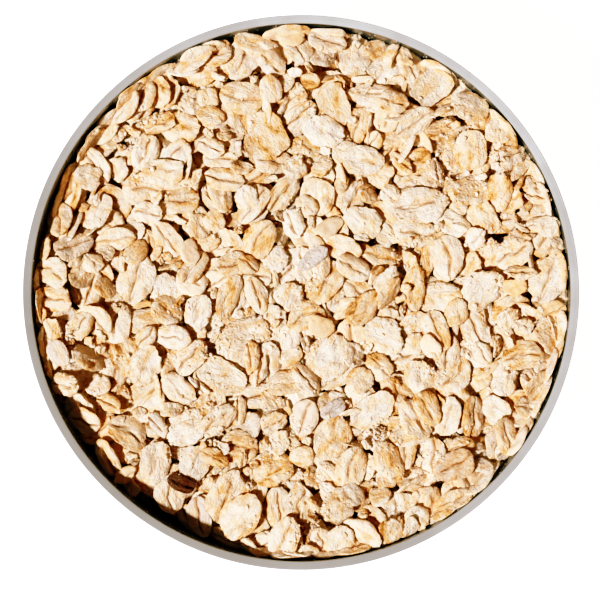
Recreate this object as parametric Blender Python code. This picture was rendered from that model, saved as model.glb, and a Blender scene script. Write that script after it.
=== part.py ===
# Bowl of rolled oats: a round spun-metal bowl with a flat rim, and the heap of oats that fills it.
# Metres, +Z up, origin at the centre of the flat base.

import math

import bmesh
import bpy
from mathutils import Vector, noise

# the bowl
RIM_RADIUS = 0.067
HEIGHT = 0.056
WALL = 0.002
BASE_RADIUS = 0.036
SHOULDER_RADIUS = 0.0664
SHOULDER_HEIGHT = 0.036
RIM_ROUNDING = 0.0003
RIM_SLOPE = 0.0004

# the heap
GAP = 0.0003
FILL_DEPTH = 0.0058
TILT = 0.0008
TILT_TOWARD = 40.0
LUMP_HEIGHT = 0.0007
LUMP_SPACING = 0.018
FLAKE_SPACING = 0.0085
FLAKE_TILT = 0.22
SCOOP_REACH = 0.068
SCOOP_RISE = 0.004

# banks of oats against the wall and hollows along it: direction and spread in degrees, rise and width in metres
BANKS = (
    (180.0, 26.0, 0.0034, 0.015),
    (284.0, 42.0, 0.0038, 0.012),
    (22.0, 70.0, 0.0038, 0.012),
    (226.0, 34.0, -0.0090, 0.008),
    (140.0, 20.0, -0.0030, 0.005),
)

# how finely the round shapes are divided
TURN_STEPS = 72
SHOULDER_STEPS = 8
ROUNDING_STEPS = 2
SCOOP_STEPS = 50

FILL_LEVEL = HEIGHT - FILL_DEPTH


def clear_scene():
    for item in list(bpy.data.objects):
        bpy.data.objects.remove(item, do_unlink=True)


def make_material(name, colour, roughness, metallic):
    material = bpy.data.materials.new(name)
    material.use_nodes = True
    shader = material.node_tree.nodes["Principled BSDF"]
    shader.inputs["Base Color"].default_value = (*colour, 1.0)
    shader.inputs["Roughness"].default_value = roughness
    shader.inputs["Metallic"].default_value = metallic
    return material


def shoulder_curve(inset):
    """The lower part of the wall, from the flat base up to the shoulder, as radius and height."""
    width = SHOULDER_RADIUS - BASE_RADIUS - inset
    depth = SHOULDER_HEIGHT - inset
    points = []
    for step in range(SHOULDER_STEPS + 1):
        angle = math.pi / 2 * step / SHOULDER_STEPS
        points.append((BASE_RADIUS + width * math.sin(angle), SHOULDER_HEIGHT - depth * math.cos(angle)))
    return points


def wall_radius(height, inset):
    """The radius of the straight upper wall at a height, inset from its outer face."""
    share = (height - SHOULDER_HEIGHT) / (HEIGHT - SHOULDER_HEIGHT)
    return SHOULDER_RADIUS + (RIM_RADIUS - SHOULDER_RADIUS) * share - inset


def rim_rounding(radius, height, start):
    """A small rounded corner of the rim, a quarter turn clockwise from the start angle."""
    points = []
    for step in range(ROUNDING_STEPS + 1):
        angle = start - math.pi / 2 * step / ROUNDING_STEPS
        points.append(
            (radius + RIM_ROUNDING * math.cos(angle), height - RIM_ROUNDING + RIM_ROUNDING * math.sin(angle))
        )
    return points


def bowl_profile():
    """The section of the bowl, from the inner floor over the rim to the underside."""
    inner_corner = wall_radius(HEIGHT, WALL) + RIM_ROUNDING
    outer_corner = RIM_RADIUS - RIM_ROUNDING
    inner = [(0.0, WALL)] + shoulder_curve(WALL)
    rim = rim_rounding(inner_corner, HEIGHT - RIM_SLOPE, math.pi)
    rim += rim_rounding(outer_corner, HEIGHT, math.pi / 2)
    outer = shoulder_curve(0.0)[::-1] + [(0.0, 0.0)]
    return inner + rim + outer


def heap_profile():
    """The section of the brimful heap, from its middle out to the wall, down and back to the axis."""
    inset = WALL + GAP
    under = shoulder_curve(inset)[::-1] + [(0.0, inset)]
    return [(0.0, HEIGHT), (wall_radius(HEIGHT, inset), HEIGHT)] + under


def turned_mesh(name, profile):
    """A closed solid of revolution about the Z axis."""
    shape = bmesh.new()
    points = [shape.verts.new((radius, 0.0, height)) for radius, height in profile]
    edges = [shape.edges.new(pair) for pair in zip(points, points[1:])]
    bmesh.ops.spin(
        shape,
        geom=points + edges,
        cent=(0.0, 0.0, 0.0),
        axis=(0.0, 0.0, 1.0),
        angle=2 * math.pi,
        steps=TURN_STEPS,
        use_merge=True,
    )
    bmesh.ops.remove_doubles(shape, verts=shape.verts, dist=1e-6)
    bmesh.ops.recalc_face_normals(shape, faces=shape.faces)
    mesh = bpy.data.meshes.new(name)
    shape.to_mesh(mesh)
    shape.free()
    return mesh


def flake_relief(x, y):
    """The top of the nearest flake, a flat tilted about its own centre."""
    place = Vector((x, y, 0.0)) / FLAKE_SPACING
    centre = noise.voronoi(place)[1][0]
    turn = noise.cell_vector(centre * 7.0)
    slope = FLAKE_TILT * (turn - Vector((0.5, 0.5, 0.5)))
    return FLAKE_SPACING * slope.dot(place - centre)


def smooth_step(value, low, high):
    share = min(1.0, max(0.0, (value - low) / (high - low)))
    return share * share * (3.0 - 2.0 * share)


def banks_height(x, y, edge):
    """How far the oats bank up against the wall, or fall away from it."""
    around = math.degrees(math.atan2(y, x))
    rise_here = 0.0
    for toward, spread, rise, width in BANKS:
        away = abs((around - toward + 180.0) % 360.0 - 180.0) / spread
        near_wall = smooth_step(math.hypot(x, y), edge - width, edge)
        rise_here += rise * near_wall * (1.0 - smooth_step(away, 0.0, 1.0))
    return rise_here


def heap_height(x, y):
    """The uneven top of the heap: nearly flat, with banks and hollows by the wall, broad lumps and flakes."""
    edge = wall_radius(FILL_LEVEL, WALL + GAP)
    uphill = math.radians(TILT_TOWARD)
    tilt = TILT * (x * math.cos(uphill) + y * math.sin(uphill)) / edge
    lump = LUMP_HEIGHT * noise.noise(Vector((x, y, 0.0)) / LUMP_SPACING)
    return FILL_LEVEL + tilt + banks_height(x, y, edge) + lump + flake_relief(x, y)


def make_scoop():
    """The block that takes the brimful heap down to its uneven top. It is a cutter, not a sub-part."""
    shape = bmesh.new()
    bmesh.ops.create_grid(shape, x_segments=SCOOP_STEPS, y_segments=SCOOP_STEPS, size=SCOOP_REACH)
    for vertex in shape.verts:
        vertex.co.z = heap_height(vertex.co.x, vertex.co.y)
    block = bmesh.ops.extrude_face_region(shape, geom=shape.faces[:])
    for vertex in block["geom"]:
        if isinstance(vertex, bmesh.types.BMVert):
            vertex.co.z = HEIGHT + SCOOP_RISE
    bmesh.ops.recalc_face_normals(shape, faces=shape.faces)
    mesh = bpy.data.meshes.new("scoop")
    shape.to_mesh(mesh)
    shape.free()
    scoop = bpy.data.objects.new("scoop", mesh)
    bpy.context.scene.collection.objects.link(scoop)
    scoop.hide_render = True
    scoop.display_type = "WIRE"
    return scoop


def add_object(name, mesh, material):
    piece = bpy.data.objects.new(name, mesh)
    bpy.context.scene.collection.objects.link(piece)
    mesh.materials.append(material)
    mesh.shade_smooth()
    mesh.set_sharp_from_angle(angle=math.radians(35))
    return piece


def make_bowl():
    metal = make_material("spun_aluminium", (0.62, 0.60, 0.58), 0.38, 1.0)
    return add_object("bowl", turned_mesh("bowl", bowl_profile()), metal)


def make_oats():
    oat = make_material("rolled_oats", (0.80, 0.63, 0.42), 0.85, 0.0)
    heap = add_object("oats", turned_mesh("oats", heap_profile()), oat)
    cut = heap.modifiers.new("uneven_top", "BOOLEAN")
    cut.operation = "DIFFERENCE"
    cut.solver = "EXACT"
    cut.object = make_scoop()
    return heap


def main():
    clear_scene()
    make_bowl()
    make_oats()


main()
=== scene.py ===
import math

import bmesh
import bpy
import numpy as np
from mathutils import Matrix, Vector, noise
from mathutils.bvhtree import BVHTree


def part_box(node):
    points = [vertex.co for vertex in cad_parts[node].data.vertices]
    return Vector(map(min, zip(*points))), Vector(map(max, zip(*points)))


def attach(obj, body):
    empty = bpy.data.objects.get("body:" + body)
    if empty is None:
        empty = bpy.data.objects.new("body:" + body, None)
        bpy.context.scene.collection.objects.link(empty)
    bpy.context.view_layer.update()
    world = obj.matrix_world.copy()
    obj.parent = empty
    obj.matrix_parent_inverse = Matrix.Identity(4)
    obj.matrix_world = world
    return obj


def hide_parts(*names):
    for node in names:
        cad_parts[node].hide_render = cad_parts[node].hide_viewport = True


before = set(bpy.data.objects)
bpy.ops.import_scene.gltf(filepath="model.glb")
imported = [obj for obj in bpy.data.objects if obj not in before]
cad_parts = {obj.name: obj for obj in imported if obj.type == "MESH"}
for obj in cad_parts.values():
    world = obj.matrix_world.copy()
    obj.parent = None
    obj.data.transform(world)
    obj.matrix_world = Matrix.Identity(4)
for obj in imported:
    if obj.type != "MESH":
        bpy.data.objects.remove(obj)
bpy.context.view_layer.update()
bowlLow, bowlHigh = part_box("bowl")
millimetre = 0.001
rimRadius = bowlHigh.x
rimHeight = bowlHigh.z
random = np.random.default_rng(20)


def newPiece(name, shape, material):
    mesh = bpy.data.meshes.new(name)
    shape.to_mesh(mesh)
    shape.free()
    mesh.materials.append(material)
    piece = bpy.data.objects.new(name, mesh)
    bpy.context.scene.collection.objects.link(piece)
    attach(piece, "root")
    return piece


def smoothStep(value, low, high):
    t = min(1.0, max(0.0, (value - low) / (high - low)))
    return t * t * (3 - 2 * t)


# a socket takes either a plain value or another node's output
def setSockets(tree, node, values):
    for socket, value in values.items():
        if isinstance(value, bpy.types.NodeSocket):
            tree.links.new(value, node.inputs[socket])
        else:
            node.inputs[socket].default_value = value


def addNode(tree, kind, inputs=None, **settings):
    node = tree.nodes.new(kind)
    for key, value in settings.items():
        setattr(node, key, value)
    setSockets(tree, node, inputs or {})
    return node


def mathNode(tree, operation, a, b=0.0):
    return addNode(tree, "ShaderNodeMath", {0: a, 1: b}, operation=operation).outputs[0]


# a sum of masks, each with its own weight
def weightedSum(tree, total, parts):
    for part, weight in parts:
        total = mathNode(tree, "ADD", total, mathNode(tree, "MULTIPLY", part, weight))
    return total


# a mix node's sockets 6 and 7 and its output 2 are the ones for colours
def mixColour(tree, factor, a, b):
    return addNode(tree, "ShaderNodeMix", {0: factor, 6: a, 7: b}, data_type="RGBA").outputs[2]


def remap(tree, value, low, high, newLow=0.0, newHigh=1.0):
    inputs = {"Value": value, "From Min": low, "From Max": high, "To Min": newLow, "To Max": newHigh}
    return addNode(tree, "ShaderNodeMapRange", inputs, clamp=True).outputs[0]


def noiseNode(tree, vector, scale, detail, roughness=0.5, distortion=0.0):
    inputs = {"Vector": vector, "Scale": scale, "Detail": detail, "Roughness": roughness,
              "Distortion": distortion}
    return addNode(tree, "ShaderNodeTexNoise", inputs).outputs["Fac"]


def bumpNode(tree, height, strength, distance):
    inputs = {"Height": height, "Strength": strength, "Distance": distance}
    return addNode(tree, "ShaderNodeBump", inputs).outputs[0]


def newMaterial(name, **plain):
    material = bpy.data.materials.new(name)
    material.use_nodes = True
    shader = material.node_tree.nodes["Principled BSDF"]
    for socket, value in plain.items():
        shader.inputs[socket.replace("_", " ")].default_value = value
    return material, material.node_tree, shader


def newGroup(name, inputs, outputs):
    group = bpy.data.node_groups.new(name, "ShaderNodeTree")
    for label, kind, value in inputs:
        socket = group.interface.new_socket(label, in_out="INPUT", socket_type=kind)
        if value is not None:
            socket.default_value = value
    for label in outputs:
        group.interface.new_socket(label, in_out="OUTPUT", socket_type="NodeSocketFloat")
    return group, group.nodes.new("NodeGroupInput"), group.nodes.new("NodeGroupOutput")


def placeGroup(tree, group, inputs):
    return addNode(tree, "ShaderNodeGroup", inputs, node_tree=group)


# marks of a pressed oat: soft bran patches, faint fibres along it, mottling, loose flour and split plates;
# "levels" are where a mark starts and is full, "height" is how far it stands out
grainMarks = {
    "Bran": {"detail": 3.0, "roughness": 0.55, "distortion": 0.5, "levels": (0.42, 0.66), "height": 0.0},
    "Fibres": {"detail": 2.0, "roughness": 0.55, "distortion": 0.8, "levels": (0.36, 0.64), "height": 0.12},
    "Mottle": {"detail": 3.0, "roughness": 0.55, "distortion": 0.6, "levels": (0.34, 0.66), "height": 0.36},
    "Flour": {"detail": 2.0, "roughness": 0.60, "distortion": 0.0, "levels": (0.56, 0.62), "height": 0.08},
    "Plates": {"detail": 3.0, "roughness": 0.55, "distortion": 0.8, "levels": (0.505, 0.540), "height": 0.30},
}
grainScales = {
    "patchSize": 3.2,  # in millimetres, as is the fibre width
    "fibreWidth": 0.34,
    "mottle": 1.0,  # for each millimetre, as are the next two
    "flour": 2.4,
    "plates": 0.42,
    "squash": (0.6, 1.25, 1.0),  # patches and plates are longer along the flake
    "stretch": (0.22, 1.0, 0.6),
}


def oatGrainGroup():
    s = grainScales
    group, given, out = newGroup(
        "oatGrain",
        [("Place", "NodeSocketVector", None), ("Patch Size", "NodeSocketFloat", s["patchSize"]),
         ("Fibre Width", "NodeSocketFloat", s["fibreWidth"])],
        (*grainMarks, "Height"),
    )
    place = given.outputs["Place"]
    patchScale = mathNode(group, "DIVIDE", 1.0, given.outputs["Patch Size"])
    fibreScale = mathNode(group, "DIVIDE", 1.0, given.outputs["Fibre Width"])
    squashed = addNode(group, "ShaderNodeMapping", {"Vector": place, "Scale": s["squash"]}).outputs[0]
    stretched = addNode(group, "ShaderNodeMapping", {"Vector": place, "Scale": s["stretch"]}).outputs[0]
    sources = {"Bran": (squashed, patchScale), "Fibres": (stretched, fibreScale),
               "Mottle": (place, s["mottle"]), "Flour": (place, s["flour"]),
               "Plates": (squashed, s["plates"])}
    heights = []
    for label, mark in grainMarks.items():
        vector, scale = sources[label]
        cloud = noiseNode(group, vector, scale, mark["detail"], mark["roughness"], mark["distortion"])
        mask = remap(group, cloud, *mark["levels"])
        group.links.new(mask, out.inputs[label])
        heights.append((mask, mark["height"]))
    group.links.new(weightedSum(group, 0.0, heights), out.inputs["Height"])
    return group


oatGrain = oatGrainGroup()

oatColours = {
    "flour": (0.885, 0.79, 0.69, 1.0),
    "starch": (0.89, 0.715, 0.555, 1.0),
    "straw": (0.86, 0.59, 0.385, 1.0),
    "bran": (0.75, 0.40, 0.175, 1.0),
    "husk": (0.36, 0.16, 0.05, 1.0),
    "crease": (0.32, 0.14, 0.045, 1.0),
    "toast": (0.055, 0.015, 0.007, 1.0),
    "grey": (0.50, 0.49, 0.50, 1.0),
    # painted shade: the dark brown given to the core, which shows in the gaps between the flakes
    "depth": (0.36, 0.17, 0.05, 1.0),
}
oatSteps = (("flour", 0.0), ("starch", 0.34), ("straw", 0.62), ("bran", 0.88), ("husk", 1.1))
oatFinish = {
    "scatter": (1.0, 0.36, 0.12),  # how far red, green and blue light travel inside a flake
    "specular": 0.12,
    # how far each mark darkens a flake, and the share of that which a smooth flake keeps
    "marks": {"Bran": 0.55, "Fibres": 0.16, "Mottle": -0.18, "Edge": 0.06, "Plates": 0.10, "Flour": -0.17},
    "smoothMarks": 0.35,
    "smoothHeight": 0.3,
    "bias": 0.10,
    "tone": 0.42,
    "white": -0.46,
    "smooth": 0.20,
    "roughness": (0.68, 0.92),
    "toastShare": 0.85,
    "bumpDistance": 0.8 * millimetre,
}


# a flake carries two point attributes: "relief" holds its crease line, edge and smooth masks, "look" its own
# tone, whiteness, toast and greyness; its "grain" map runs along the flake in millimetres
def oatMaterial(name, colours, bumpStrength):
    f = oatFinish
    material, tree, shader = newMaterial(
        name, Roughness=0.78, Subsurface_Weight=0.12, Subsurface_Scale=0.0016,
        Subsurface_Radius=f["scatter"], Specular_IOR_Level=f["specular"])
    place = addNode(tree, "ShaderNodeUVMap", uv_map="grain").outputs[0]
    grain = placeGroup(tree, oatGrain, {"Place": place}).outputs
    reliefNode = addNode(tree, "ShaderNodeAttribute", attribute_name="relief")
    lookNode = addNode(tree, "ShaderNodeAttribute", attribute_name="look")
    relief = addNode(tree, "ShaderNodeSeparateColor", {0: reliefNode.outputs["Color"]})
    look = addNode(tree, "ShaderNodeSeparateColor", {0: lookNode.outputs["Color"]})
    crease, edge, smooth = relief.outputs[0], relief.outputs[1], relief.outputs[2]
    tone, white, toast, grey = look.outputs[0], look.outputs[1], look.outputs[2], lookNode.outputs["Alpha"]
    masks = {"Edge": edge, **{label: grain[label] for label in grainMarks}}
    marks = weightedSum(tree, 0.0, [(masks[label], weight) for label, weight in f["marks"].items()])
    marks = mathNode(tree, "MULTIPLY", marks, remap(tree, smooth, 0.0, 1.0, 1.0, f["smoothMarks"]))
    shade = mathNode(tree, "ADD", marks, f["bias"])
    shade = weightedSum(tree, shade, ((tone, f["tone"]), (white, f["white"]), (smooth, f["smooth"])))
    ramp = addNode(tree, "ShaderNodeValToRGB", {"Fac": shade})
    steps = ramp.color_ramp.elements
    while len(steps) < len(oatSteps):
        steps.new(0.5)
    for step, (label, position) in zip(steps, oatSteps):
        step.position = position
        step.color = colours[label]
    greyed = mathNode(tree, "MULTIPLY", grey, remap(tree, grain["Mottle"], 0.0, 1.0, 0.5, 1.0))
    colour = mixColour(tree, greyed, ramp.outputs["Color"], colours["grey"])
    creased = mathNode(tree, "MULTIPLY", crease, remap(tree, grain["Fibres"], 0.0, 0.6, 0.55, 1.0))
    colour = mixColour(tree, creased, colour, colours["crease"])
    colour = mixColour(tree, mathNode(tree, "MULTIPLY", toast, f["toastShare"]), colour, colours["toast"])
    rough = remap(tree, grain["Mottle"], 0.0, 1.0, *f["roughness"])
    evened = remap(tree, smooth, 0.0, 1.0, 1.0, f["smoothHeight"])
    height = mathNode(tree, "MULTIPLY", grain["Height"], evened)
    bump = bumpNode(tree, height, bumpStrength, f["bumpDistance"])
    setSockets(tree, shader, {"Base Color": colour, "Roughness": rough, "Normal": bump})
    return material


bowlSizes = {
    "wall": 2.0 * millimetre,
    "baseRadius": 36.0 * millimetre,
    "shoulderRadius": rimRadius - 0.6 * millimetre,
    "shoulderHeight": 36.0 * millimetre,
    "rimRounding": 0.20 * millimetre,
    "rimSlope": 0.40 * millimetre,
    "turnSteps": 240,
    "shoulderSteps": 26,
    "roundingSteps": 4,
    "sharpFrom": 40,
}


# the lower wall as points of radius and height, from the flat base up to the shoulder
def shoulderCurve(inset):
    b = bowlSizes
    width = b["shoulderRadius"] - b["baseRadius"] - inset
    depth = b["shoulderHeight"] - inset
    points = []
    for step in range(b["shoulderSteps"] + 1):
        angle = math.pi / 2 * step / b["shoulderSteps"]
        radius = b["baseRadius"] + width * math.sin(angle)
        points.append((radius, b["shoulderHeight"] - depth * math.cos(angle)))
    return points


def wallRadius(height, inset):
    b = bowlSizes
    if height >= b["shoulderHeight"]:
        share = (height - b["shoulderHeight"]) / (rimHeight - b["shoulderHeight"])
        return b["shoulderRadius"] + (rimRadius - b["shoulderRadius"]) * share - inset
    drop = (b["shoulderHeight"] - height) / (b["shoulderHeight"] - inset)
    width = b["shoulderRadius"] - b["baseRadius"] - inset
    return b["baseRadius"] + width * math.sqrt(max(0.0, 1 - drop * drop))


def rimCorner(radius, height, start):
    rounding = bowlSizes["rimRounding"]
    steps = bowlSizes["roundingSteps"]
    angles = [start - math.pi / 2 * step / steps for step in range(steps + 1)]
    return [(radius + rounding * math.cos(a), height - rounding + rounding * math.sin(a)) for a in angles]


def turned(profile, steps):
    shape = bmesh.new()
    points = [shape.verts.new((radius, 0.0, height)) for radius, height in profile]
    edges = [shape.edges.new(pair) for pair in zip(points, points[1:])]
    bmesh.ops.spin(shape, geom=points + edges, cent=(0, 0, 0), axis=(0, 0, 1), angle=2 * math.pi,
                   steps=steps, use_merge=True)
    bmesh.ops.remove_doubles(shape, verts=shape.verts, dist=1e-6)
    bmesh.ops.recalc_face_normals(shape, faces=shape.faces)
    return shape


metalLooks = {
    "markScale": 2600.0,
    "bandScale": 800.0,
    "smudgeScale": 55.0,
    "wander": 0.00012,  # how far a turning mark drifts on its way round, for each radian
    "rimBand": (1.0, 0.6),  # below the rim, in millimetres
    "paintedShadeBand": (1.8, 1.5),  # from the outside of the rim inwards, in millimetres
    "paintedShadeFrom": (0.038, 0.040),  # the heights, in metres, between which the inner wall darkens
    "dull": (0.42, 0.45, 0.457, 1.0),
    "bright": (0.49, 0.525, 0.535, 1.0),
    "smudged": (0.36, 0.382, 0.388, 1.0),
    "smudgeShare": 0.35,
    # painted shade: the dark that the inner wall below the rim is mixed towards, and how much of it
    "paintedShade": (0.10, 0.09, 0.085, 1.0),
    "paintedShadeShare": 0.45,
    "roughness": (0.30, 0.40),
    "rimRoughness": 0.42,
    "bumpStrength": 0.35,
    "bumpDistance": 0.06 * millimetre,
}


# satin spun metal: fine turning marks round the axis, brighter and duller bands, faint handling smudges, and
# masks for the rim and for the inner wall, which is darkened with painted shade
def turnedMetalGroup():
    m = metalLooks
    group, given, out = newGroup(
        "turnedMetal",
        [("Mark Scale", "NodeSocketFloat", m["markScale"])],
        ("Marks", "Bands", "Smudge", "Rim", "Inside"),
    )
    place = addNode(group, "ShaderNodeTexCoord").outputs["Object"]
    split = addNode(group, "ShaderNodeSeparateXYZ", {0: place})
    x, y, height = split.outputs
    squares = mathNode(group, "ADD", mathNode(group, "MULTIPLY", x, x), mathNode(group, "MULTIPLY", y, y))
    radius = mathNode(group, "SQRT", squares)
    drift = mathNode(group, "MULTIPLY", mathNode(group, "ARCTAN2", y, x), m["wander"])
    rings = addNode(group, "ShaderNodeCombineXYZ", {0: radius, 1: height, 2: drift}).outputs[0]
    marks = noiseNode(group, rings, given.outputs["Mark Scale"], 2.0, 0.7)
    bands = noiseNode(group, rings, m["bandScale"], 1.0)
    smudge = noiseNode(group, place, m["smudgeScale"], 4.0, 0.6)
    rim = remap(group, height, *(rimHeight - below * millimetre for below in m["rimBand"]))
    nearest, farthest = (rimRadius - inwards * millimetre for inwards in m["paintedShadeBand"])
    paintedShade = remap(group, radius, nearest, farthest, 1.0, 0.0)
    paintedShade = mathNode(group, "MULTIPLY", paintedShade, remap(group, height, *m["paintedShadeFrom"]))
    paintedShade = mathNode(group, "MULTIPLY", paintedShade, mathNode(group, "SUBTRACT", 1.0, rim))
    bands = remap(group, bands, 0.3, 0.7)
    smudge = remap(group, smudge, 0.35, 0.7)
    masks = {"Marks": marks, "Bands": bands, "Smudge": smudge, "Rim": rim, "Inside": paintedShade}
    for label, mask in masks.items():
        group.links.new(mask, out.inputs[label])
    return group


def bowlMetal():
    m = metalLooks
    material, tree, shader = newMaterial("spunMetal", Metallic=0.85)
    marks = placeGroup(tree, turnedMetalGroup(), {}).outputs
    smudged = mathNode(tree, "MULTIPLY", marks["Smudge"], m["smudgeShare"])
    shaded = mathNode(tree, "MULTIPLY", marks["Inside"], m["paintedShadeShare"])
    colour = mixColour(tree, marks["Bands"], m["dull"], m["bright"])
    colour = mixColour(tree, smudged, colour, m["smudged"])
    # the inner wall is darkened with painted shade
    colour = mixColour(tree, shaded, colour, m["paintedShade"])
    rough = remap(tree, marks["Smudge"], 0.0, 1.0, *m["roughness"])
    rough = mathNode(tree, "ADD", rough, mathNode(tree, "MULTIPLY", marks["Rim"], m["rimRoughness"]))
    bump = bumpNode(tree, marks["Marks"], m["bumpStrength"], m["bumpDistance"])
    setSockets(tree, shader, {"Base Color": colour, "Roughness": rough, "Normal": bump})
    return material


def buildBowl():
    b = bowlSizes
    innerCorner = wallRadius(rimHeight, b["wall"]) + b["rimRounding"]
    outerCorner = rimRadius - b["rimRounding"]
    profile = [(0.0, b["wall"])] + shoulderCurve(b["wall"])
    profile += rimCorner(innerCorner, rimHeight - b["rimSlope"], math.pi)
    profile += rimCorner(outerCorner, rimHeight, math.pi / 2)
    profile += shoulderCurve(0.0)[::-1] + [(0.0, 0.0)]
    piece = newPiece("bowlShell", turned(profile, b["turnSteps"]), bowlMetal())
    piece.data.shade_smooth()
    piece.data.set_sharp_from_angle(angle=math.radians(b["sharpFrom"]))
    piece.modifiers.new("weighted", "WEIGHTED_NORMAL")
    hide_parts("bowl")


heap = {
    "depth": 5.8 * millimetre,
    "tilt": 0.8 * millimetre,
    "tiltTo": 40.0,
    # banks against the wall and trenches along it: direction, spread, rise and width
    "banks": ((180.0, 26.0, 3.4, 15.0), (284.0, 42.0, 3.8, 12.0), (22.0, 70.0, 3.8, 12.0),
              (226.0, 34.0, -9.0, 8.0), (140.0, 20.0, -3.0, 5.0)),
    "lumpHeight": 0.7 * millimetre,
    "lumpSpacing": 18.0 * millimetre,
    "coreDepth": 5.5 * millimetre,
    "cell": 0.5 * millimetre,
    "wallGap": 0.05 * millimetre,
}
wallInside = wallRadius(rimHeight - 0.5 * heap["depth"], bowlSizes["wall"]) - heap["wallGap"]


# the level that the flakes fill up to: nearly flat, with broad lumps, banks and trenches
def fillLevel(x, y):
    reach = math.hypot(x, y)
    around = math.degrees(math.atan2(y, x))
    way = math.radians(heap["tiltTo"])
    level = rimHeight - heap["depth"] + heap["tilt"] * (x * math.cos(way) + y * math.sin(way)) / wallInside
    level += heap["lumpHeight"] * noise.noise(Vector((x, y, 0.0)) / heap["lumpSpacing"])
    for toward, spread, rise, width in heap["banks"]:
        away = abs((around - toward + 180.0) % 360.0 - 180.0) / spread
        nearWall = smoothStep(reach, wallInside - width * millimetre, wallInside)
        level += rise * millimetre * nearWall * (1.0 - smoothStep(away, 0.0, 1.0))
    return level


def coreLevel(x, y):
    return fillLevel(x, y) - heap["coreDepth"]


# the solid core under the flakes, coloured dark as painted shade for the gaps between them
core = {
    "gap": 0.3 * millimetre,
    "wallTop": rimHeight - 21.0 * millimetre,
    "rings": 30,
    "turnSteps": 96,
    "lumps": ((160.0, 1.0), (420.0, 0.6)),  # scale and share
    "lumpHeight": 1.2 * millimetre,
    "patchSize": 5.0,
    "flourShare": 0.4,
    "bumpStrength": 0.8,
}


def coreMaterial():
    material, tree, shader = newMaterial("deepOatsPaintedShade", Roughness=0.9)
    place = addNode(tree, "ShaderNodeTexCoord").outputs["Object"]
    inMillimetres = (1 / millimetre, 1 / millimetre, 1 / millimetre)
    scaled = addNode(tree, "ShaderNodeMapping", {"Vector": place, "Scale": inMillimetres}).outputs[0]
    grain = placeGroup(tree, oatGrain, {"Place": scaled, "Patch Size": core["patchSize"]}).outputs
    floury = mathNode(tree, "MULTIPLY", grain["Flour"], core["flourShare"])
    # the core is partly the bran's own colour and partly the dark depth brown, a painted shade for the gaps;
    # flour lightens it
    colour = mixColour(tree, grain["Bran"], oatColours["bran"], oatColours["depth"])
    colour = mixColour(tree, floury, colour, oatColours["starch"])
    bump = bumpNode(tree, grain["Height"], core["bumpStrength"], oatFinish["bumpDistance"])
    setSockets(tree, shader, {"Base Color": colour, "Normal": bump})
    return material


def buildCore():
    inset = bowlSizes["wall"] + core["gap"]
    edge = wallRadius(core["wallTop"], inset)
    under = [point for point in shoulderCurve(inset)[::-1] if point[1] < core["wallTop"] - millimetre]
    profile = [(edge * ring / core["rings"], rimHeight) for ring in range(core["rings"] + 1)]
    profile += under + [(0.0, inset)]
    shape = turned(profile, core["turnSteps"])
    for vertex in shape.verts:
        x, y, z = vertex.co
        if z > rimHeight - millimetre:
            lump = sum(share * noise.noise(Vector((x, y, 0.0)) * scale) for scale, share in core["lumps"])
            vertex.co.z = coreLevel(x, y) + core["lumpHeight"] * lump
    piece = newPiece("oatCore", shape, coreMaterial())
    piece.data.shade_smooth()
    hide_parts("oats")


# sizes in millimetres, from the smallest to the largest; creased, folded and smooth are shares of a kind,
# and cuts is the fewest and most sides that have broken off a flake
flakeKinds = {
    "ovalFlakes": {
        "share": 0.32, "length": (7.6, 10.4), "width": (5.8, 7.6), "thick": (0.9, 1.3), "cup": 0.45,
        "creased": 0.45, "folded": 0.1, "smooth": 0.10, "ragged": 0.05, "lumps": 0.65, "cuts": (0, 0),
        "blanks": 16, "white": 0.45,
    },
    "longFlakes": {
        "share": 0.20, "length": (8.8, 11.6), "width": (5.0, 6.6), "thick": (0.9, 1.3), "cup": 0.55,
        "creased": 0.70, "folded": 0.1, "smooth": 0.10, "ragged": 0.05, "lumps": 0.60, "cuts": (0, 0),
        "blanks": 12, "white": 0.45,
    },
    "broadFlakes": {
        "share": 0.20, "length": (9.2, 12.2), "width": (7.2, 9.2), "thick": (0.8, 1.2), "cup": 0.8,
        "creased": 0.25, "folded": 0.4, "smooth": 0.0, "ragged": 0.08, "lumps": 0.95, "cuts": (0, 1),
        "blanks": 14, "white": 0.60,
    },
    "smallFlakes": {
        "share": 0.11, "length": (5.0, 7.0), "width": (4.0, 5.2), "thick": (0.8, 1.1), "cup": 0.3,
        "creased": 0.3, "folded": 0.0, "smooth": 0.25, "ragged": 0.04, "lumps": 0.30, "cuts": (0, 0),
        "blanks": 12, "white": 0.30,
    },
    "brokenFlakes": {
        "share": 0.17, "length": (4.8, 8.8), "width": (3.6, 6.2), "thick": (0.7, 1.2), "cup": 0.5,
        "creased": 0.2, "folded": 0.2, "smooth": 0.1, "ragged": 0.10, "lumps": 0.60, "cuts": (1, 2),
        "blanks": 14, "white": 0.60,
    },
    "chips": {
        "share": 0.0, "length": (2.2, 4.4), "width": (1.6, 3.0), "thick": (0.5, 0.9), "cup": 0.3,
        "creased": 0.0, "folded": 0.0, "smooth": 0.1, "ragged": 0.16, "lumps": 0.50, "cuts": (1, 3),
        "blanks": 14, "white": 0.60,
    },
}
fineGrid = (16, 12)
coarseGrid = (8, 6)
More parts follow.
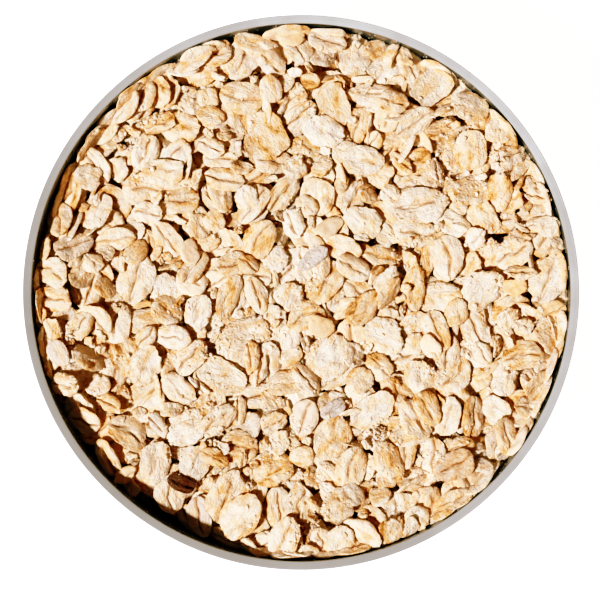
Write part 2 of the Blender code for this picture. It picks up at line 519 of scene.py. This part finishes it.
# places and widths on a flake are shares of its half length and half width
pressing = {
    "crease": (0.5, 1.0),
    "creaseEnd": (0.5, 0.95),  # how far the crease runs from the middle towards each end
    "creaseFade": 0.2,
    "creaseWander": 0.14,
    "creaseWidth": 0.07,
    "creaseDepth": 0.60,  # as a share of the thickness, as is the lobe height
    "lineWidth": 0.08,
    "lineStrength": 1.4,
    "lobeHeight": 0.20,
    "lobeAt": 0.36,
    "lobeWidth": 0.28,
    "folded": (0.5, 1.3),
    "foldAt": (-0.2, 0.4),
    "outline": ((-0.14, -0.12, 0.10), (0.14, 0.12, 0.40)),  # least and most: egg shape, skew, wander
    "bend": ((-0.3, -1.0, -0.8), (1.0, 0.6, 0.8)),  # least and most: cup, roll, twist
    "warp": 0.45,
    "square": (0.82, 1.0),
    "breakAt": (0.45, 0.85),
    "breakRough": 0.24,
    "breakRound": 0.10,
    "edgeThick": 0.30,
    "rowsToCrease": 1.45,  # draws the grid's rows together at the crease
}


# what one flake is like, drawn by its own seed
def drawTraits(kind, seed):
    k = flakeKinds[kind]
    pick = np.random.default_rng(seed)
    f = {size: pick.uniform(*k[size]) * millimetre for size in ("length", "width", "thick")}
    f["crease"] = pick.uniform(*pressing["crease"]) if pick.random() < k["creased"] else 0.0
    f["folded"] = pick.uniform(*pressing["folded"]) if pick.random() < k["folded"] else 0.0
    f["smooth"] = 1.0 if pick.random() < k["smooth"] else 0.0
    f["creaseEnds"] = -pick.uniform(*pressing["creaseEnd"]), pick.uniform(*pressing["creaseEnd"])
    f["egg"], f["skew"], f["wander"] = pick.uniform(*pressing["outline"])
    f["cup"], f["roll"], f["twist"] = pick.uniform(*pressing["bend"]) * k["cup"] * millimetre
    f["warp"] = pressing["warp"] * k["cup"] * millimetre
    f["square"] = pick.uniform(*pressing["square"])
    f["foldWay"], f["foldAt"] = pick.uniform(0, 2 * math.pi), pick.uniform(*pressing["foldAt"])
    f["breaks"] = [(pick.uniform(0, 2 * math.pi), pick.uniform(*pressing["breakAt"]))
                   for cut in range(pick.integers(k["cuts"][0], k["cuts"][1] + 1))]
    f["start"] = Vector(pick.uniform(-50, 50, 3))
    f["ragged"], f["lumps"] = k["ragged"], k["lumps"]
    return f


# where a point of the round grid goes: the edge is ragged, and straight where a side has broken off
def shapeEdge(f, p, q, rho):
    around = math.atan2(q, p)
    turn = Vector((math.cos(around), math.sin(around), 0.0))
    rag = noise.noise(f["start"] + turn * 1.3) + 0.45 * noise.noise(f["start"] + turn * 3.6)
    rag += 0.35 * noise.noise(f["start"] + turn * 9.0) * smoothStep(rho, 0.6, 1.0)
    reach = 1.0 + f["ragged"] * rag * smoothStep(rho, 0.0, 0.8) * 2.0
    px, py = p * reach, q * reach
    for way, cut in f["breaks"]:
        over = px * math.cos(way) + py * math.sin(way)
        rough = noise.noise(f["start"] + Vector((px - py, px + py, way)) * 2.6)
        over -= cut * (1.0 + pressing["breakRough"] * rough)
        if over > 0.0:
            over -= pressing["breakRound"] * (1.0 - math.exp(-over / pressing["breakRound"]))
            px -= over * math.cos(way)
            py -= over * math.sin(way)
    return px, py


# the crease down the middle: its depth, its dark line and the lobes beside it
def creaseAt(f, p, v):
    g = pressing
    low, high = f["creaseEnds"]
    along = smoothStep(p, low - g["creaseFade"], low) * (1 - smoothStep(p, high, high + g["creaseFade"]))
    aside = v - g["creaseWander"] * noise.noise(f["start"] + Vector((p * 2.2, 5.0, 0.0)))
    groove = f["crease"] * along * math.exp(-(aside / g["creaseWidth"]) ** 2)
    line = min(1.0, g["lineStrength"] * f["crease"]) * along * math.exp(-(aside / g["lineWidth"]) ** 2)
    lobes = g["lobeHeight"] * f["crease"] * math.exp(-((abs(v) - g["lobeAt"]) / g["lobeWidth"]) ** 2)
    return groove, line, lobes * (1.0 - p ** 4)


# how far a flake is bent out of its plane: cupped, rolled, twisted, warped and folded
def bendAt(f, p, q):
    bend = f["cup"] * (p * p - 0.3) + f["roll"] * (q * q - 0.3) + f["twist"] * p * q
    bend += f["warp"] * noise.noise(f["start"] + Vector((p, q, 20.0)) * 1.1)
    past = p * math.cos(f["foldWay"]) + q * math.sin(f["foldWay"]) - f["foldAt"]
    return bend + f["folded"] * millimetre * max(0.0, past)


def lumpAt(f, p, q):
    broad = noise.noise(f["start"] + Vector((p, q, 3.0)) * 1.7)
    ridged = abs(noise.noise(f["start"] + Vector((p, 1.4 * q, 7.0)) * 2.1))
    return f["lumps"] * (broad + 1.5 * ridged - 0.35)


# one flake, pressed from a grid: first its upper skin, then the under skin that closes it
def pressFlake(kind, seed, grid):
    f = drawTraits(kind, seed)
    shape = bmesh.new()
    bmesh.ops.create_grid(shape, x_segments=grid[0], y_segments=grid[1], size=1.0)
    relief = shape.verts.layers.float_color.new("relief")
    shape.verts.layers.float_color.new("look")
    under = shape.verts.layers.float.new("under")
    grainMap = shape.loops.layers.uv.new("grain")
    for vertex in shape.verts:
        u, v = vertex.co.x, vertex.co.y
        v = math.copysign(abs(v) ** pressing["rowsToCrease"], v)
        p = u * math.sqrt(1 - v * v / 2 * f["square"])
        q = v * math.sqrt(1 - u * u / 2 * f["square"])
        rho = min(1.0, math.hypot(p, q))
        groove, line, lobes = creaseAt(f, p, v)
        px, py = shapeEdge(f, p, q, rho)
        sway = f["wander"] * noise.noise(f["start"] + Vector((p * 1.3, 9.0, 0.0)))
        x = f["length"] / 2 * px
        y = f["width"] / 2 * (py * (1.0 - f["egg"] * p) + (sway + f["skew"] * p * p) * (1.0 - 0.6 * v * v))
        inner = (1.0 - rho ** 3.4) ** 0.5
        body = f["thick"] * (pressing["edgeThick"] + (1.0 - pressing["edgeThick"]) * inner)
        bend = bendAt(f, p, q)
        rise = lobes + lumpAt(f, p, q) * (0.4 + 0.6 * (1 - rho)) - pressing["creaseDepth"] * groove
        vertex[relief] = (line, smoothStep(rho, 0.82, 1.0), f["smooth"], 1.0)
        vertex[under] = bend - body * 0.5
        vertex.co = (x, y, bend + body * 0.5 + f["thick"] * rise)
    for face in shape.faces:
        for loop in face.loops:
            loop[grainMap].uv = loop.vert.co.xy / millimetre
    tops = np.array([vertex.co[:] for vertex in shape.verts])
    lows = np.array([(vertex.co.x, vertex.co.y, vertex[under]) for vertex in shape.verts])
    skin = bmesh.ops.extrude_face_region(shape, geom=shape.faces[:])["geom"]
    for item in skin:
        if isinstance(item, bmesh.types.BMVert):
            item.co.z = item[under]
    below = [item for item in skin if isinstance(item, bmesh.types.BMFace)]
    bmesh.ops.dissolve_faces(shape, faces=below, use_verts=False)
    bmesh.ops.recalc_face_normals(shape, faces=shape.faces)
    shape.verts.layers.float.remove(shape.verts.layers.float["under"])
    mesh = bpy.data.meshes.new(kind)
    shape.to_mesh(mesh)
    shape.free()
    mesh.shade_smooth()
    return mesh, tops, lows


# points along a flake's surface, close enough to leave no gap between them on the height map
def spreadPoints(points, grid):
    net = points.reshape(grid[1] + 1, grid[0] + 1, 3)
    along = (net[:, 1:] + net[:, :-1]) / 2
    across = (net[1:] + net[:-1]) / 2
    middle = (along[1:] + along[:-1]) / 2
    return np.concatenate([part.reshape(-1, 3) for part in (net, along, across, middle)])


def pressBlanks():
    blanks = []
    for place, (kind, k) in enumerate(flakeKinds.items()):
        for number in range(k["blanks"]):
            seed = 1000 * place + number
            fine, tops, lows = pressFlake(kind, seed, fineGrid)
            coarse = pressFlake(kind, seed, coarseGrid)[0]
            blanks.append({"kind": kind, "fine": fine, "coarse": coarse,
                           "tops": spreadPoints(tops, fineGrid), "lows": spreadPoints(lows, fineGrid)})
    return blanks


pouring = {
    "spots": 20,  # places looked at before a flake drops into the lowest
    "poses": 12,  # poses tried there, of which the lowest is kept
    "reach": wallInside - 1.5 * millimetre,
    "size": (0.92, 1.10),
    "tiltSpread": 0.22,
    "mostTilt": 0.60,
    "yawSpread": 0.6,
    "setTiltSpread": 0.06,  # for a flake that is set down at a given tilt
    "setYawSpread": 0.1,
    "shift": 1.2 * millimetre,
    "bedding": 0.90,  # the share of a flake's underside that its neighbours leave free
    "mostBedded": 0.75 * millimetre,
    "mostFlakes": 2600,
    "fullAt": 0.10 * millimetre,
    "needSpan": 6,  # in cells, as are the hollow spans
    "hollowSpans": (9, 1),
    "ceiling": rimHeight - 0.6 * millimetre,
    "fillers": 40,  # small flakes, then chips, that drop into hollows
    "chips": 90,
    "looks": 14,
    "wedged": 40,  # flakes on edge between the others
    "wedgeTilt": (1.1, 1.4),
    "wedgeRise": (0.4, 1.8),
    "endOn": 0.65,  # the share of flakes by the wall that point at it
    "endOnWidth": 6.0 * millimetre,
    "endOnSpread": 0.3,
}
# flakes against the wall: tall slivers at the named directions, and others at random, but not in the trenches
leaning = {
    "slivers": (124, 131, 138, 147, 153, 171, 176, 318, 330, 336, 13, 19, 30),
    "sliverTilt": (1.3, 1.45),
    "sliverRise": (1.6, 3.6),
    "others": 50,
    "otherTilt": (1.05, 1.35),
    "fromWall": (0.8, 2.2),
    "trenchLevel": rimHeight - heap["depth"] - 2.5 * millimetre,
    "ceiling": rimHeight - 0.35 * millimetre,
}


class Pile:
    def __init__(self):
        self.cell = heap["cell"]
        self.count = int(2 * rimRadius / self.cell) + 2
        line = (np.arange(self.count) + 0.5) * self.cell - rimRadius
        self.height = np.array([[coreLevel(x, y) for y in line] for x in line])
        self.owner = np.full((self.count, self.count), -1)
        self.flakes = []

    def cellsOf(self, points):
        spots = ((points[:, :2] + rimRadius) / self.cell).astype(int)
        return np.clip(spots, 0, self.count - 1).T

    def level(self, x, y, span):
        i, j = self.cellsOf(np.array([[x, y]]))[:, 0]
        step = max(1, span // 3)
        return self.height[max(0, i - span):i + span + 1:step, max(0, j - span):j + span + 1:step].mean()

    def need(self, x, y):
        return fillLevel(x, y) - self.level(x, y, pouring["needSpan"])

    def hollow(self, x, y):
        wide, narrow = pouring["hollowSpans"]
        return self.level(x, y, wide) - self.level(x, y, narrow)

    def deepest(self, tries):
        spots = [discSpot(pouring["reach"]) for attempt in range(tries)]
        return spots[int(np.argmax([self.hollow(*spot) for spot in spots]))]

    def pose(self, blank, x, y, turn, scale):
        tops = blank["tops"] * scale @ turn.T + (x, y, 0.0)
        lows = blank["lows"] * scale @ turn.T + (x, y, 0.0)
        both = np.concatenate([tops[:, :2], lows[:, :2]])
        reach = np.hypot(both[:, 0], both[:, 1])
        far = reach.argmax()
        if reach[far] > wallInside:
            push = both[far] * (1 - wallInside / reach[far])
            tops[:, :2] -= push
            lows[:, :2] -= push
            x, y = x - push[0], y - push[1]
        press = np.sort(self.height[tuple(self.cellsOf(lows))] - lows[:, 2])
        rest = max(press[int(len(press) * pouring["bedding"])], press[-1] - pouring["mostBedded"])
        return rest, x, y, tops

    def slope(self, blank, x, y, yaw):
        spin = np.array(Matrix.Rotation(yaw, 3, "Z"))
        flat = blank["lows"][::5] @ spin.T + (x, y, 0.0)
        ground = self.height[tuple(self.cellsOf(flat))]
        plane = np.column_stack([flat[:, 0] - x, flat[:, 1] - y, np.ones(len(flat))])
        return np.linalg.lstsq(plane, ground, rcond=None)[0][:2]

    def settle(self, blank, x, y, tilt=None, yaw=None, ceiling=pouring["ceiling"], rise=None, scale=None,
               look=None):
        free = tilt is None
        if yaw is None:
            yaw = random.uniform(0, 2 * math.pi)
            if math.hypot(x, y) > wallInside - pouring["endOnWidth"] and random.random() < pouring["endOn"]:
                yaw = math.atan2(y, x) + random.normal(0, pouring["endOnSpread"])
        scale = random.uniform(*pouring["size"]) if scale is None else scale
        tiltSpread = pouring["tiltSpread" if free else "setTiltSpread"]
        yawSpread = pouring["yawSpread" if free else "setYawSpread"]
        if free:
            tilt = np.clip(self.slope(blank, x, y, yaw), -pouring["mostTilt"], pouring["mostTilt"])
        best = None
        for attempt in range(pouring["poses"]):
            grade = np.array(tilt) + random.normal(0, tiltSpread, 2)
            move = random.normal(0, pouring["shift"], 2) if free else (0.0, 0.0)
            normal = Vector((-grade[0], -grade[1], 1.0)).normalized()
            spun = Matrix.Rotation(yaw + random.normal(0, yawSpread), 3, "Z")
            turn = Vector((0, 0, 1)).rotation_difference(normal).to_matrix() @ spun
            rest, px, py, tops = self.pose(blank, x + move[0], y + move[1], np.array(turn), scale)
            if best is None or rest < best[0]:
                best = (rest, px, py, tops, turn)
        rest, x, y, tops, turn = best
        if rise:
            level = np.median(self.height[tuple(self.cellsOf(tops))]) + random.uniform(*rise) * millimetre
            rest = min(rest, min(level, ceiling) - tops[:, 2].max())
        if rest + tops[:, 2].max() <= ceiling:
            self.keep(blank, tops + (0.0, 0.0, rest), turn, (x, y, rest), scale, look)

    def keep(self, blank, tops, turn, place, scale, look):
        order = tops[:, 2].argsort()
        tops = tops[order]
        i, j = self.cellsOf(tops)
        higher = tops[:, 2] > self.height[i, j]
        i, j, z = i[higher], j[higher], tops[higher, 2]
        self.height[i, j] = z
        self.owner[i, j] = len(self.flakes)
        matrix = Matrix.Translation(place) @ turn.to_4x4() @ Matrix.Scale(scale, 4)
        self.flakes.append({"blank": blank, "matrix": matrix, "look": look})


def pickBlank(blanks, kinds=None):
    kinds = kinds or list(flakeKinds)
    shares = np.array([flakeKinds[kind]["share"] for kind in kinds]) if len(kinds) > 1 else np.ones(1)
    kind = random.choice(kinds, p=shares / shares.sum())
    return random.choice([blank for blank in blanks if blank["kind"] == kind])


def discSpot(reach):
    radius = reach * math.sqrt(random.random())
    angle = random.uniform(0, 2 * math.pi)
    return radius * math.cos(angle), radius * math.sin(angle)


def pourFlakes(blanks):
    pile = Pile()
    while len(pile.flakes) < pouring["mostFlakes"]:
        spots = [discSpot(pouring["reach"]) for spot in range(pouring["spots"])]
        needs = [pile.need(*spot) for spot in spots]
        if max(needs) < pouring["fullAt"]:
            break
        pile.settle(pickBlank(blanks), *spots[int(np.argmax(needs))])
    return pile


# small and broken flakes and chips drop into the hollows that are left
def fillHollows(pile, blanks):
    rounds = ((["smallFlakes", "brokenFlakes"], pouring["fillers"]), (["chips"], pouring["chips"]))
    for kinds, count in rounds:
        for number in range(count):
            pile.settle(pickBlank(blanks, kinds), *pile.deepest(pouring["looks"]))


def steepTilt(low, high, way):
    return math.tan(random.uniform(low, high)) * np.array([math.cos(way), math.sin(way)])


# thin flakes on edge, pushed down into the gaps between the others
def wedgeFlakes(pile, blanks):
    for number in range(pouring["wedged"]):
        x, y = pile.deepest(pouring["looks"])
        way = random.uniform(0, 2 * math.pi)
        blank = pickBlank(blanks, ["ovalFlakes", "brokenFlakes"])
        tilt = steepTilt(*pouring["wedgeTilt"], way)
        pile.settle(blank, x, y, tilt=tilt, yaw=way + math.pi / 2, rise=pouring["wedgeRise"])


# flakes that slid down the wall and stand against it
def leanOnWall(pile, blanks):
    angles = [math.radians(angle) for angle in leaning["slivers"]]
    angles += [random.uniform(0, 2 * math.pi) for number in range(leaning["others"])]
    for number, angle in enumerate(angles):
        tall = number < len(leaning["slivers"])
        reach = wallInside - random.uniform(*leaning["fromWall"]) * millimetre
        x, y = reach * math.cos(angle), reach * math.sin(angle)
        if not tall and fillLevel(x, y) < leaning["trenchLevel"]:
            continue
        kinds = ["ovalFlakes", "longFlakes"] + ([] if tall else ["smallFlakes", "brokenFlakes"])
        blank = pickBlank(blanks, kinds)
        tilt = steepTilt(*leaning["sliverTilt" if tall else "otherTilt"], angle)
        rise = leaning["sliverRise"] if tall else pouring["wedgeRise"]
        pile.settle(blank, x, y, tilt=tilt, yaw=angle + math.pi / 2, ceiling=leaning["ceiling"], rise=rise)


# single flakes that stand out: place in millimetres, direction in degrees, size as a share of its kind's, and
# look (tone, whiteness, toast, grey); the one at 44.0, -41.4 finds no room under the ceiling and is left out,
# as any such flake is
singleFlakes = (
    {"kind": "longFlakes", "at": (-34.5, -42.5), "turn": -25.0, "size": 0.72, "look": (1.0, 0.0, 1.08, 0.0)},
    {"kind": "longFlakes", "at": (-25.8, -37.4), "turn": -40.0, "size": 0.82, "look": (1.15, 0.0, 0.10, 0.0)},
    {"kind": "longFlakes", "at": (3.9, 7.5), "turn": 42.0, "size": 0.78, "look": (0.2, 0.9, 0.0, 0.75)},
    {"kind": "longFlakes", "at": (4.1, -29.4), "turn": 15.0, "size": 0.68, "look": (0.1, 1.0, 0.0, 0.65)},
    {"kind": "brokenFlakes", "at": (19.3, 2.7), "turn": 20.0, "size": 0.6, "look": (1.5, 0.0, 0.35, 0.0)},
    {"kind": "longFlakes", "at": (44.0, -41.4), "turn": 19.0, "size": 0.95, "look": (0.6, 0.0, 0.08, 0.40)},
    {"kind": "longFlakes", "at": (31.4, -46.6), "turn": 12.0, "size": 1.15, "look": (0.6, 0.0, 0.05, 0.32)},
)


def placeSingles(pile, blanks):
    for single in singleFlakes:
        x, y = (place * millimetre for place in single["at"])
        blank = pickBlank(blanks, [single["kind"]])
        pile.settle(blank, x, y, tilt=(0.1, -0.1), yaw=math.radians(single["turn"]), scale=single["size"],
                    look=single["look"])


flakeLooks = {
    "seenCells": 6,  # a flake that shows in more cells of the height map gets the fine mesh
    "toasted": 0.02,  # the share of flakes that is toasted, and then how far
    "toast": (0.05, 0.25),
    "greyed": 0.012,
    "grey": (0.2, 0.5),
    "dark": 0.10,
    "darkTone": (0.6, 1.0),
    "tone": (1.5, 2.5),  # the two shape values of a beta curve, as is the whiteness
    "whiteness": (1.1, 1.4),
    "grainShift": 400.0,  # in millimetres, so that no two flakes share their marks
    "sharpFrom": 62,
}


def triangleCount(piece):
    return sum(len(face.vertices) - 2 for face in piece.data.polygons)


def setLook(mesh, look):
    values = np.tile(look, len(mesh.vertices)).astype(np.float32)
    mesh.attributes["look"].data.foreach_set("color", values)


def shiftGrain(mesh, shift):
    grain = np.empty(len(mesh.loops) * 2, np.float32)
    grainMap = mesh.uv_layers["grain"].data
    grainMap.foreach_get("uv", grain)
    grain += np.tile(shift, len(mesh.loops)).astype(np.float32)
    grainMap.foreach_set("uv", grain)


def buildFlakes(pile, material):
    looks = flakeLooks
    cells = np.bincount(pile.owner[pile.owner >= 0], minlength=len(pile.flakes))
    seen = cells > looks["seenCells"]
    print("flakes seen", seen.sum(), "partly", ((cells > 0) & ~seen).sum(), "hidden", (cells == 0).sum())
    shapes = {kind: bmesh.new() for kind in flakeKinds}
    for number, flake in enumerate(pile.flakes):
        blank = flake["blank"]
        mesh = blank["fine" if seen[number] else "coarse"].copy()
        mesh.transform(flake["matrix"])
        whiteness = flakeKinds[blank["kind"]]["white"]
        toast = random.uniform(*looks["toast"]) if random.random() < looks["toasted"] else 0.0
        grey = random.uniform(*looks["grey"]) if random.random() < looks["greyed"] else 0.0
        dark = random.random() < looks["dark"]
        tone = random.uniform(*looks["darkTone"]) if dark else random.beta(*looks["tone"])
        setLook(mesh, flake["look"] or (tone, whiteness * random.beta(*looks["whiteness"]), toast, grey))
        shiftGrain(mesh, random.uniform(-looks["grainShift"], looks["grainShift"], 2))
        shapes[blank["kind"]].from_mesh(mesh)
        bpy.data.meshes.remove(mesh)
    pieces = []
    for kind, shape in shapes.items():
        piece = newPiece(kind, shape, material)
        piece.data.shade_smooth()
        piece.data.set_sharp_from_angle(angle=math.radians(looks["sharpFrom"]))
        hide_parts("oats")
        pieces.append(piece)
        print(kind, "triangles", triangleCount(piece))
    return pieces


# radii in millimetres; crumbs and flour gather in clusters, spread about each cluster's middle
crumbs = {"count": 2600, "size": (0.18, 1.1), "flat": (0.3, 0.7), "blanks": 16, "rough": 0.8, "spread": 1.5}
flour = {"count": 4600, "size": (0.05, 0.16), "flat": (0.4, 0.8), "blanks": 8, "rough": 0.8, "spread": 3.0}
wallDust = {"count": 420, "size": (0.08, 0.30), "flat": 0.6, "blanks": 4, "rough": 0.3,
            "below": (0.5, 7.0), "look": (0.3, 0.8, 0.0, 0.0)}
clusters = {"count": 150, "looks": 8, "strays": 0.15}


def crumbBlank(seed, rough):
    shape = bmesh.new()
    bmesh.ops.create_icosphere(shape, subdivisions=1, radius=1.0)
    relief = shape.verts.layers.float_color.new("relief")
    shape.verts.layers.float_color.new("look")
    grainMap = shape.loops.layers.uv.new("grain")
    for vertex in shape.verts:
        vertex.co *= 1.0 + rough * noise.noise(vertex.co * 2.1 + Vector((seed * 7.1, 0.0, 3.0))) * 1.4
        vertex[relief] = (0.0, 0.0, 0.0, 1.0)
    for face in shape.faces:
        for loop in face.loops:
            loop[grainMap].uv = loop.vert.co.xy
    mesh = bpy.data.meshes.new("crumb")
    shape.to_mesh(mesh)
    shape.free()
    return mesh


def scatter(shape, blanks, place, normal, size, flat, look):
    mesh = blanks[random.integers(len(blanks))].copy()
    turn = Vector((0, 0, 1)).rotation_difference(normal).to_matrix()
    turn = turn @ Matrix.Rotation(random.uniform(0, 2 * math.pi), 3, "Z")
    sizes = Matrix.Diagonal((size, size * random.uniform(0.5, 0.95), size * flat, 1.0))
    mesh.transform(Matrix.Translation(place) @ turn.to_4x4() @ sizes)
    setLook(mesh, look)
    shape.from_mesh(mesh)
    bpy.data.meshes.remove(mesh)


def surfaceTree(pieces):
    joined = bmesh.new()
    for piece in pieces:
        joined.from_mesh(piece.data)
    tree = BVHTree.FromBMesh(joined)
    joined.free()
    return tree


# more crumbs and flour lie on the side that was poured last
def dustShare(x, y):
    patch = noise.noise(Vector((x, y, 0.4)) * 38.0) + 0.5 * noise.noise(Vector((x, y, 2.0)) * 120.0)
    toFront = 0.5 - 0.6 * y / rimRadius + 0.15 * x / rimRadius
    return min(1.0, max(0.06, 0.35 * toFront + 0.9 * patch + 0.12))


def clusterSpots(pile):
    spots = []
    while len(spots) < clusters["count"]:
        spot = pile.deepest(clusters["looks"])
        if random.random() < dustShare(*spot):
            spots.append(spot)
    return spots


def scatterOnHeap(rules, tree, spots, whiteness):
    blanks = [crumbBlank(number, rules["rough"]) for number in range(rules["blanks"])]
    shape = bmesh.new()
    placed = 0
    while placed < rules["count"]:
        x, y = discSpot(wallInside)
        if random.random() > clusters["strays"]:
            middle = spots[random.integers(len(spots))]
            x, y = random.normal(middle, rules["spread"] * millimetre)
        if math.hypot(x, y) > wallInside:
            continue
        hit, normal, index, distance = tree.ray_cast(Vector((x, y, rimHeight)), Vector((0, 0, -1)))
        if hit is None:
            continue
        low, high = rules["size"]
        size = millimetre * (low + (high - low) * random.beta(1.0, 3.6))
        flat = random.uniform(*rules["flat"])
        look = (random.beta(1.0, 1.2), random.uniform(*whiteness), 0.0, 0.0)
        scatter(shape, blanks, hit + normal * size * flat * 0.4, normal, size, flat, look)
        placed += 1
    return shape


def addWallDust(shape):
    blanks = [crumbBlank(number + 40, wallDust["rough"]) for number in range(wallDust["blanks"])]
    least, most = wallDust["size"]
    high, low = wallDust["below"]
    for number in range(wallDust["count"]):
        angle = random.uniform(0, 2 * math.pi)
        height = rimHeight - millimetre * (high + (low - high) * random.beta(2.2, 1.3))
        radius = wallRadius(height, bowlSizes["wall"])
        outward = Vector((math.cos(angle), math.sin(angle), 0.0))
        size = millimetre * (least + (most - least) * random.beta(1, 3))
        place = outward * (radius - size * 0.3) + Vector((0, 0, height))
        scatter(shape, blanks, place, -outward, size, wallDust["flat"], wallDust["look"])


def finishLoose(name, shape, material):
    piece = newPiece(name, shape, material)
    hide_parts("oats")
    print(name, "triangles", triangleCount(piece))


studio = {
    "floorSize": 3.0,
    "floorColour": (0.86, 0.86, 0.86, 1.0),
    "floorGlow": 1.5,
    "floorBounce": 0.25,
    "sunFrom": 205.0,
    "sunHeight": 52.0,
    "sunSpread": 5.0,
    "sunPower": 5.22,
    "sunColour": (0.985, 0.99, 1.0),
    "skyLight": 0.14,
    "shineShare": 0.20,  # how much of the white surroundings the metal reflects
    "skyColour": (1.0, 0.46, 0.15, 1.0),
    "white": (1.0, 1.0, 1.0, 1.0),
    "filmWhite": 1.6,
    # the film's curves, as light and how it is shown: one for each colour, then one for all
    "filmRed": ((0.04, 0.037), (0.08, 0.086), (0.16, 0.193), (0.27, 0.318), (0.40, 0.448), (0.57, 0.605),
                (0.80, 0.812)),
    "filmBlue": ((0.008, 0.008), (0.016, 0.014), (0.05, 0.036), (0.11, 0.080), (0.20, 0.162), (0.30, 0.272),
                 (0.45, 0.44)),
    "film": ((0.03, 0.004), (0.06, 0.018), (0.10, 0.056), (0.30, 0.26), (0.60, 0.55), (0.90, 0.775),
             (1.20, 0.915)),
}
view = {
    "distance": 0.45,  # above the rim
    "offset": (-0.004, -0.030),
    "aim": (-0.00045, -0.0018),
    "rimShare": 0.928,  # of the picture's width
    "sensor": 36.0,
}


def buildFloor():
    shape = bmesh.new()
    bmesh.ops.create_grid(shape, x_segments=1, y_segments=1, size=studio["floorSize"] / 2)
    mesh = bpy.data.meshes.new("floor")
    shape.to_mesh(mesh)
    shape.free()
    floor = bpy.data.objects.new("floor", mesh)
    bpy.context.scene.collection.objects.link(floor)
    material, tree, shader = newMaterial("paleFloor", Roughness=0.9)
    seen = addNode(tree, "ShaderNodeLightPath").outputs["Is Camera Ray"]
    glow = remap(tree, seen, 0.0, 1.0, studio["floorBounce"], studio["floorGlow"])
    setSockets(tree, shader, {"Base Color": studio["floorColour"], "Emission Color": studio["white"],
                              "Emission Strength": glow})
    mesh.materials.append(material)


def buildLight():
    lamp = bpy.data.lights.new("sun", "SUN")
    lamp.energy = studio["sunPower"]
    lamp.angle = math.radians(studio["sunSpread"])
    lamp.color = studio["sunColour"]
    sun = bpy.data.objects.new("sun", lamp)
    bpy.context.scene.collection.objects.link(sun)
    around, up = math.radians(studio["sunFrom"]), math.radians(studio["sunHeight"])
    way = Vector((math.cos(around) * math.cos(up), math.sin(around) * math.cos(up), math.sin(up)))
    sun.rotation_euler = way.to_track_quat("Z", "Y").to_euler()
    world = bpy.data.worlds.new("studio")
    world.use_nodes = True
    tree = world.node_tree
    back = tree.nodes["Background"]
    rays = addNode(tree, "ShaderNodeLightPath").outputs
    shine = mathNode(tree, "MULTIPLY", rays["Is Glossy Ray"], studio["shineShare"])
    seen = mathNode(tree, "ADD", rays["Is Camera Ray"], shine)
    pale = mathNode(tree, "ADD", rays["Is Camera Ray"], rays["Is Glossy Ray"])
    strength = remap(tree, seen, 0.0, 1.0, studio["skyLight"], studio["filmWhite"])
    colour = mixColour(tree, pale, studio["skyColour"], studio["white"])
    setSockets(tree, back, {"Strength": strength, "Color": colour})
    bpy.context.scene.world = world


def buildCamera():
    lens = bpy.data.cameras.new("camera")
    camera = bpy.data.objects.new("camera", lens)
    bpy.context.scene.collection.objects.link(camera)
    camera.location = (*view["offset"], rimHeight + view["distance"])
    gaze = Vector((*view["aim"], rimHeight)) - camera.location
    camera.rotation_euler = gaze.to_track_quat("-Z", "Y").to_euler()
    lens.sensor_width = view["sensor"]
    lens.lens = lens.sensor_width * view["rimShare"] / 2 * gaze.length / rimRadius
    bpy.context.scene.camera = camera


def loadFilm():
    settings = bpy.context.scene.view_settings
    settings.view_transform = "Standard"
    settings.use_curve_mapping = True
    mapping = settings.curve_mapping
    mapping.white_level = (studio["filmWhite"],) * 3
    for light, shown in studio["film"]:
        mapping.curves[3].points.new(light / studio["filmWhite"], shown)
    for channel, tint in ((0, "filmRed"), (2, "filmBlue")):
        for light, shown in studio[tint]:
            mapping.curves[channel].points.new(light, shown)
    mapping.update()


print("bowl")
buildBowl()
print("core")
buildCore()
print("flakes")
blanks = pressBlanks()
pile = pourFlakes(blanks)
print("poured", len(pile.flakes))
wedgeFlakes(pile, blanks)
leanOnWall(pile, blanks)
fillHollows(pile, blanks)
placeSingles(pile, blanks)
print("settled", len(pile.flakes))
flakeMaterial = oatMaterial("oatFlake", oatColours, 0.62)
flakePieces = buildFlakes(pile, flakeMaterial)
print("crumbs and flour")
tree = surfaceTree(flakePieces)
crumbMaterial = oatMaterial("oatCrumb", oatColours, 0.4)
spots = clusterSpots(pile)
finishLoose("crumbs", scatterOnHeap(crumbs, tree, spots, (0.0, 0.9)), crumbMaterial)
dust = scatterOnHeap(flour, tree, spots, (0.5, 1.0))
addWallDust(dust)
finishLoose("flour", dust, crumbMaterial)
print("stage")
buildFloor()
buildLight()
buildCamera()
loadFilm()
